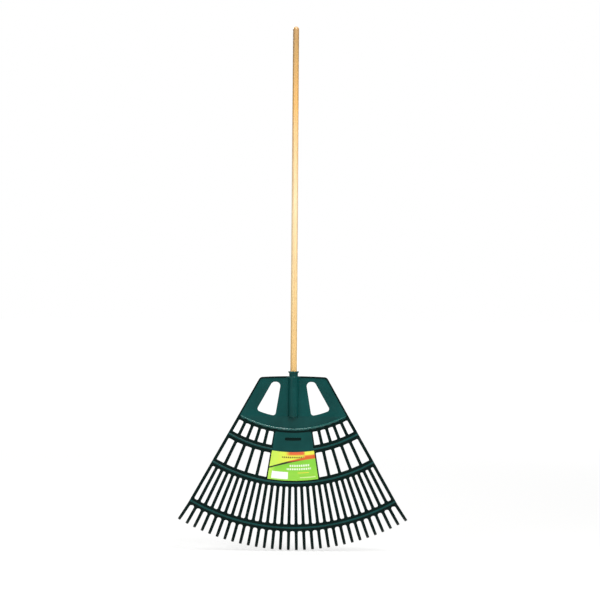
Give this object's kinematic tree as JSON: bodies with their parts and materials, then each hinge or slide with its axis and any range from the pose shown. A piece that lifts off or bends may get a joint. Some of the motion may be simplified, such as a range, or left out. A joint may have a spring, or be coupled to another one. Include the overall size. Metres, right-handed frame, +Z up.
{
  "type": "leaf rake",
  "caption": "Leaf rake: a long round wooden handle in a fan-shaped green plastic head with windows, slotted ribs and sprung hooked tines.",
  "frame": {"origin": "on the handle's axis at the upper hand's grip, 0.30 m below the top end", "axes": "+Z up along the handle, -Y the labelled front, +Y the side the tine tips curl to, +X to the right seen from the front"},
  "size_m": [0.7568, 0.0835, 1.7146],
  "materials": {
    "handle_wood": "turned and sanded hardwood under a thin clear coat, warm honey colour",
    "head_plastic": "injection-moulded dark teal-green polypropylene, satin",
    "label_film": null,
    "screw_steel": "zinc-plated steel"
  },
  "bodies": {
    "rake": {"handle": "handle_wood", "head_socket": "head_plastic", "head_plate": "head_plastic", "centre_panel": "head_plastic", "upper_grid_left": "head_plastic", "upper_grid_right": "head_plastic", "lower_grid_left": "head_plastic", "lower_grid_centre": "head_plastic", "lower_grid_right": "head_plastic", "label": "label_film", "fixing_screw": "screw_steel"},
    "tine_01": {"tine_01": "head_plastic"},
    "tine_02": {"tine_02": "head_plastic"},
    "tine_03": {"tine_03": "head_plastic"},
    "tine_04": {"tine_04": "head_plastic"},
    "tine_05": {"tine_05": "head_plastic"},
    "tine_06": {"tine_06": "head_plastic"},
    "tine_07": {"tine_07": "head_plastic"},
    "tine_08": {"tine_08": "head_plastic"},
    "tine_09": {"tine_09": "head_plastic"},
    "tine_10": {"tine_10": "head_plastic"},
    "tine_11": {"tine_11": "head_plastic"},
    "tine_12": {"tine_12": "head_plastic"},
    "tine_13": {"tine_13": "head_plastic"},
    "tine_14": {"tine_14": "head_plastic"},
    "tine_15": {"tine_15": "head_plastic"},
    "tine_16": {"tine_16": "head_plastic"},
    "tine_17": {"tine_17": "head_plastic"},
    "tine_18": {"tine_18": "head_plastic"},
    "tine_19": {"tine_19": "head_plastic"},
    "tine_20": {"tine_20": "head_plastic"},
    "tine_21": {"tine_21": "head_plastic"},
    "tine_22": {"tine_22": "head_plastic"},
    "tine_23": {"tine_23": "head_plastic"},
    "tine_24": {"tine_24": "head_plastic"},
    "tine_25": {"tine_25": "head_plastic"},
    "tine_26": {"tine_26": "head_plastic"},
    "tine_27": {"tine_27": "head_plastic"},
    "tine_28": {"tine_28": "head_plastic"},
    "tine_29": {"tine_29": "head_plastic"},
    "tine_30": {"tine_30": "head_plastic"}
  },
  "joints": [
    {"name": "tine_01_flex", "type": "hinge", "parent": "rake", "child": "tine_01", "pos_m": [-0.33927, 0.0257, -1.26172], "axis": [0.8388, 0, -0.5445], "range_deg": [-15, 10], "stiffness_Nm_per_rad": 1.5},
    {"name": "tine_02_flex", "type": "hinge", "parent": "rake", "child": "tine_02", "pos_m": [-0.31768, 0.02568, -1.2732], "axis": [0.8741, 0, -0.4858], "range_deg": [-15, 10], "stiffness_Nm_per_rad": 1.5},
    {"name": "tine_03_flex", "type": "hinge", "parent": "rake", "child": "tine_03", "pos_m": [-0.29574, 0.02567, -1.28398], "axis": [0.8977, 0, -0.4405], "range_deg": [-15, 10], "stiffness_Nm_per_rad": 1.5},
    {"name": "tine_04_flex", "type": "hinge", "parent": "rake", "child": "tine_04", "pos_m": [-0.27343, 0.02566, -1.29399], "axis": [0.9184, 0, -0.3957], "range_deg": [-15, 10], "stiffness_Nm_per_rad": 1.5},
    {"name": "tine_05_flex", "type": "hinge", "parent": "rake", "child": "tine_05", "pos_m": [-0.25082, 0.02566, -1.30326], "axis": [0.9318, 0, -0.363], "range_deg": [-15, 10], "stiffness_Nm_per_rad": 1.5},
    {"name": "tine_06_flex", "type": "hinge", "parent": "rake", "child": "tine_06", "pos_m": [-0.22789, 0.02566, -1.31173], "axis": [0.9441, 0, -0.3298], "range_deg": [-15, 10], "stiffness_Nm_per_rad": 1.5},
    {"name": "tine_07_flex", "type": "hinge", "parent": "rake", "child": "tine_07", "pos_m": [-0.20467, 0.02566, -1.31938], "axis": [0.9551, 0, -0.2962], "range_deg": [-15, 10], "stiffness_Nm_per_rad": 1.5},
    {"name": "tine_08_flex", "type": "hinge", "parent": "rake", "child": "tine_08", "pos_m": [-0.1812, 0.02566, -1.32621], "axis": [0.965, 0, -0.2622], "range_deg": [-15, 10], "stiffness_Nm_per_rad": 1.5},
    {"name": "tine_09_flex", "type": "hinge", "parent": "rake", "child": "tine_09", "pos_m": [-0.1575, 0.02566, -1.3322], "axis": [0.9737, 0, -0.2279], "range_deg": [-15, 10], "stiffness_Nm_per_rad": 1.5},
    {"name": "tine_10_flex", "type": "hinge", "parent": "rake", "child": "tine_10", "pos_m": [-0.13361, 0.02566, -1.33735], "axis": [0.9811, 0, -0.1934], "range_deg": [-15, 10], "stiffness_Nm_per_rad": 1.5},
    {"name": "tine_11_flex", "type": "hinge", "parent": "rake", "child": "tine_11", "pos_m": [-0.10954, 0.02566, -1.34165], "axis": [0.9874, 0, -0.1585], "range_deg": [-15, 10], "stiffness_Nm_per_rad": 1.5},
    {"name": "tine_12_flex", "type": "hinge", "parent": "rake", "child": "tine_12", "pos_m": [-0.08534, 0.02566, -1.3451], "axis": [0.9923, 0, -0.1235], "range_deg": [-15, 10], "stiffness_Nm_per_rad": 1.5},
    {"name": "tine_13_flex", "type": "hinge", "parent": "rake", "child": "tine_13", "pos_m": [-0.06103, 0.02566, -1.34769], "axis": [0.9961, 0, -0.0883], "range_deg": [-15, 10], "stiffness_Nm_per_rad": 1.5},
    {"name": "tine_14_flex", "type": "hinge", "parent": "rake", "child": "tine_14", "pos_m": [-0.03665, 0.02566, -1.34942], "axis": [0.9986, 0, -0.053], "range_deg": [-15, 10], "stiffness_Nm_per_rad": 1.5},
    {"name": "tine_15_flex", "type": "hinge", "parent": "rake", "child": "tine_15", "pos_m": [-0.01222, 0.02566, -1.35028], "axis": [0.9998, 0, -0.0177], "range_deg": [-15, 10], "stiffness_Nm_per_rad": 1.5},
    {"name": "tine_16_flex", "type": "hinge", "parent": "rake", "child": "tine_16", "pos_m": [0.01222, 0.02566, -1.35028], "axis": [0.9998, 0, 0.0177], "range_deg": [-15, 10], "stiffness_Nm_per_rad": 1.5},
    {"name": "tine_17_flex", "type": "hinge", "parent": "rake", "child": "tine_17", "pos_m": [0.03665, 0.02566, -1.34942], "axis": [0.9986, 0, 0.053], "range_deg": [-15, 10], "stiffness_Nm_per_rad": 1.5},
    {"name": "tine_18_flex", "type": "hinge", "parent": "rake", "child": "tine_18", "pos_m": [0.06103, 0.02566, -1.34769], "axis": [0.9961, 0, 0.0883], "range_deg": [-15, 10], "stiffness_Nm_per_rad": 1.5},
    {"name": "tine_19_flex", "type": "hinge", "parent": "rake", "child": "tine_19", "pos_m": [0.08534, 0.02566, -1.3451], "axis": [0.9923, 0, 0.1235], "range_deg": [-15, 10], "stiffness_Nm_per_rad": 1.5},
    {"name": "tine_20_flex", "type": "hinge", "parent": "rake", "child": "tine_20", "pos_m": [0.10954, 0.02566, -1.34165], "axis": [0.9874, 0, 0.1585], "range_deg": [-15, 10], "stiffness_Nm_per_rad": 1.5},
    {"name": "tine_21_flex", "type": "hinge", "parent": "rake", "child": "tine_21", "pos_m": [0.13361, 0.02566, -1.33735], "axis": [0.9811, 0, 0.1934], "range_deg": [-15, 10], "stiffness_Nm_per_rad": 1.5},
    {"name": "tine_22_flex", "type": "hinge", "parent": "rake", "child": "tine_22", "pos_m": [0.1575, 0.02566, -1.3322], "axis": [0.9737, 0, 0.2279], "range_deg": [-15, 10], "stiffness_Nm_per_rad": 1.5},
    {"name": "tine_23_flex", "type": "hinge", "parent": "rake", "child": "tine_23", "pos_m": [0.1812, 0.02566, -1.32621], "axis": [0.965, 0, 0.2622], "range_deg": [-15, 10], "stiffness_Nm_per_rad": 1.5},
    {"name": "tine_24_flex", "type": "hinge", "parent": "rake", "child": "tine_24", "pos_m": [0.20467, 0.02566, -1.31938], "axis": [0.9551, 0, 0.2962], "range_deg": [-15, 10], "stiffness_Nm_per_rad": 1.5},
    {"name": "tine_25_flex", "type": "hinge", "parent": "rake", "child": "tine_25", "pos_m": [0.22789, 0.02566, -1.31173], "axis": [0.9441, 0, 0.3298], "range_deg": [-15, 10], "stiffness_Nm_per_rad": 1.5},
    {"name": "tine_26_flex", "type": "hinge", "parent": "rake", "child": "tine_26", "pos_m": [0.25082, 0.02566, -1.30326], "axis": [0.9318, 0, 0.363], "range_deg": [-15, 10], "stiffness_Nm_per_rad": 1.5},
    {"name": "tine_27_flex", "type": "hinge", "parent": "rake", "child": "tine_27", "pos_m": [0.27343, 0.02566, -1.29399], "axis": [0.9184, 0, 0.3957], "range_deg": [-15, 10], "stiffness_Nm_per_rad": 1.5},
    {"name": "tine_28_flex", "type": "hinge", "parent": "rake", "child": "tine_28", "pos_m": [0.29574, 0.02567, -1.28398], "axis": [0.8977, 0, 0.4405], "range_deg": [-15, 10], "stiffness_Nm_per_rad": 1.5},
    {"name": "tine_29_flex", "type": "hinge", "parent": "rake", "child": "tine_29", "pos_m": [0.31768, 0.02568, -1.2732], "axis": [0.8741, 0, 0.4858], "range_deg": [-15, 10], "stiffness_Nm_per_rad": 1.5},
    {"name": "tine_30_flex", "type": "hinge", "parent": "rake", "child": "tine_30", "pos_m": [0.33927, 0.0257, -1.26172], "axis": [0.8388, 0, 0.5445], "range_deg": [-15, 10], "stiffness_Nm_per_rad": 1.5}
  ]
}
